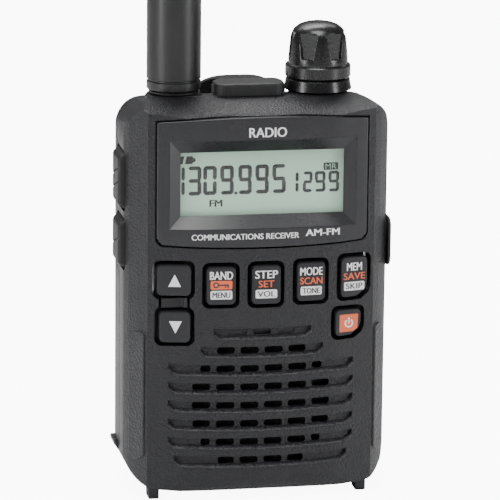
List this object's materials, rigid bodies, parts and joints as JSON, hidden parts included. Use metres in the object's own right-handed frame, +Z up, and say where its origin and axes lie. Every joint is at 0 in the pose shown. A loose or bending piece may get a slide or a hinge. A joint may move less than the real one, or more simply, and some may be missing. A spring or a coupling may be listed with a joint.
{
  "type": "handheld aviation radio",
  "caption": "Pocket wideband radio receiver with whip antenna, tuning knob, display, rubber keys, slotted speaker grille, sliding battery cover and sprung belt clip",
  "frame": {"origin": "On the floor plane under the four foot ribs, at the centre of the bounding box", "axes": "+Z up along the antenna, -Y out of the display, +X to the right as the display is seen"},
  "size_m": [0.0604, 0.039, 0.262],
  "materials": {
    "case_black": "fine-grained moulded ABS, matt black",
    "bezel_black": "semi-gloss black plastic",
    "key_grey": "satin charcoal silicone rubber with printed legends",
    "rubber_black": "matt black moulded rubber",
    "knob_black": "satin black plastic",
    "clear_plastic": "clear polished acrylic window",
    "lcd_green_grey": "reflective liquid crystal glass, pale green-grey",
    "white_plastic": "frosted white light guide",
    "board_green": "green solder mask on glass-fibre board",
    "plated_steel": "bright plated steel",
    "brass": "machined brass",
    "frame_grey": "dark grey glass-filled plastic",
    "cone_paper": "pressed paper speaker cone",
    "cell_wrap": "printed film sleeve over steel can"
  },
  "bodies": {
    "case": {"front_case": "case_black", "rear_case": "case_black", "display_bezel": "bezel_black", "display_lens": "clear_plastic", "lcd_panel": "lcd_green_grey", "lcd_light_guide": "white_plastic", "keypad_mat": "rubber_black", "side_switch_board": "board_green", "front_board": "board_green", "dome_sheet": "plated_steel", "main_board": "board_green", "receiver_shield": "plated_steel", "speaker_cloth": "rubber_black", "speaker_frame": "frame_grey", "speaker_cone": "cone_paper", "speaker_magnet": "plated_steel", "chassis": "frame_grey", "battery_cell_a": "cell_wrap", "battery_cell_b": "cell_wrap", "contact_plate_a": "plated_steel", "contact_plate_b": "plated_steel", "contact_link": "plated_steel", "contact_spring_a": "plated_steel", "contact_spring_b": "plated_steel", "antenna_jack": "brass", "antenna_seal": "rubber_black", "encoder_body": "frame_grey", "encoder_nut": "plated_steel", "knob_collar": "bezel_black", "speaker_jack": "frame_grey", "dc_jack": "frame_grey", "clip_base": "frame_grey", "clip_pin": "plated_steel", "clip_spring": "plated_steel", "case_screw_left": "plated_steel", "case_screw_right": "plated_steel", "clip_screw_lower": "plated_steel", "clip_screw_upper": "plated_steel"},
    "key_up_body": {"key_up": "key_grey"},
    "key_down_body": {"key_down": "key_grey"},
    "key_band_body": {"key_band": "key_grey"},
    "key_step_body": {"key_step": "key_grey"},
    "key_mode_body": {"key_mode": "key_grey"},
    "key_memory_body": {"key_memory": "key_grey"},
    "key_power_body": {"key_power": "key_grey"},
    "side_key_function_body": {"side_key_function": "rubber_black"},
    "side_key_squelch_body": {"side_key_squelch": "rubber_black"},
    "knob": {"tuning_knob": "knob_black", "encoder_shaft": "plated_steel"},
    "antenna_thread": {"antenna_coupling": "brass", "antenna_pin": "brass"},
    "antenna_whip": {"antenna_sheath": "rubber_black", "antenna_core": "plated_steel"},
    "top_jack_cover": {"jack_cover": "rubber_black"},
    "side_jack_cover": {"dc_jack_cover": "rubber_black"},
    "cover": {"battery_cover": "case_black"},
    "clip_lever": {"clip_jaw": "frame_grey"}
  },
  "joints": [
    {"name": "key_up_press", "type": "slide", "parent": "case", "child": "key_up_body", "axis": [0, 1, 0], "range_m": [0, 0.0005], "stiffness_N_per_m": 1500},
    {"name": "key_down_press", "type": "slide", "parent": "case", "child": "key_down_body", "axis": [0, 1, 0], "range_m": [0, 0.0005], "stiffness_N_per_m": 1500},
    {"name": "key_band_press", "type": "slide", "parent": "case", "child": "key_band_body", "axis": [0, 1, 0], "range_m": [0, 0.0005], "stiffness_N_per_m": 1500},
    {"name": "key_step_press", "type": "slide", "parent": "case", "child": "key_step_body", "axis": [0, 1, 0], "range_m": [0, 0.0005], "stiffness_N_per_m": 1500},
    {"name": "key_mode_press", "type": "slide", "parent": "case", "child": "key_mode_body", "axis": [0, 1, 0], "range_m": [0, 0.0005], "stiffness_N_per_m": 1500},
    {"name": "key_memory_press", "type": "slide", "parent": "case", "child": "key_memory_body", "axis": [0, 1, 0], "range_m": [0, 0.0005], "stiffness_N_per_m": 1500},
    {"name": "key_power_press", "type": "slide", "parent": "case", "child": "key_power_body", "axis": [0, 1, 0], "range_m": [0, 0.0005], "stiffness_N_per_m": 1500},
    {"name": "side_key_function_press", "type": "slide", "parent": "case", "child": "side_key_function_body", "axis": [1, 0, 0], "range_m": [0, 0.0005], "stiffness_N_per_m": 1500},
    {"name": "side_key_squelch_press", "type": "slide", "parent": "case", "child": "side_key_squelch_body", "axis": [1, 0, 0], "range_m": [0, 0.0005], "stiffness_N_per_m": 1500},
    {"name": "knob_turn", "type": "hinge", "parent": "case", "child": "knob", "pos_m": [0.0149, -0.00178, 0.0905], "axis": [0, 0, 1], "continuous": true},
    {"name": "antenna_lift", "type": "slide", "parent": "case", "child": "antenna_thread", "axis": [0, 0, 1], "range_m": [0, 0.00353]},
    {"name": "antenna_turn", "type": "hinge", "parent": "antenna_thread", "child": "antenna_whip", "pos_m": [-0.0169, -0.00178, 0.0885], "axis": [0, 0, 1], "range_deg": [0, 1800]},
    {"name": "jack_cover_flap", "type": "hinge", "parent": "case", "child": "top_jack_cover", "pos_m": [-0.008, -0.00407, 0.0889], "axis": [0, -1, 0], "range_deg": [0, 80]},
    {"name": "dc_jack_cover_flap", "type": "hinge", "parent": "case", "child": "side_jack_cover", "pos_m": [0.0297, -0.00768, 0.0498], "axis": [0, 1, 0], "range_deg": [0, 120]},
    {"name": "battery_cover_slide", "type": "slide", "parent": "case", "child": "cover", "axis": [0, 0, -1], "range_m": [0, 0.066]},
    {"name": "belt_clip_open", "type": "hinge", "parent": "case", "child": "clip_lever", "pos_m": [0, 0.01593, 0.072], "axis": [1, 0, 0], "range_deg": [0, 14], "stiffness_Nm_per_rad": 0.06, "springref_deg": -20.05}
  ],
  "couplings": [
    {"joint": "antenna_turn", "follows": "antenna_lift", "rad_per_m": 8899}
  ]
}
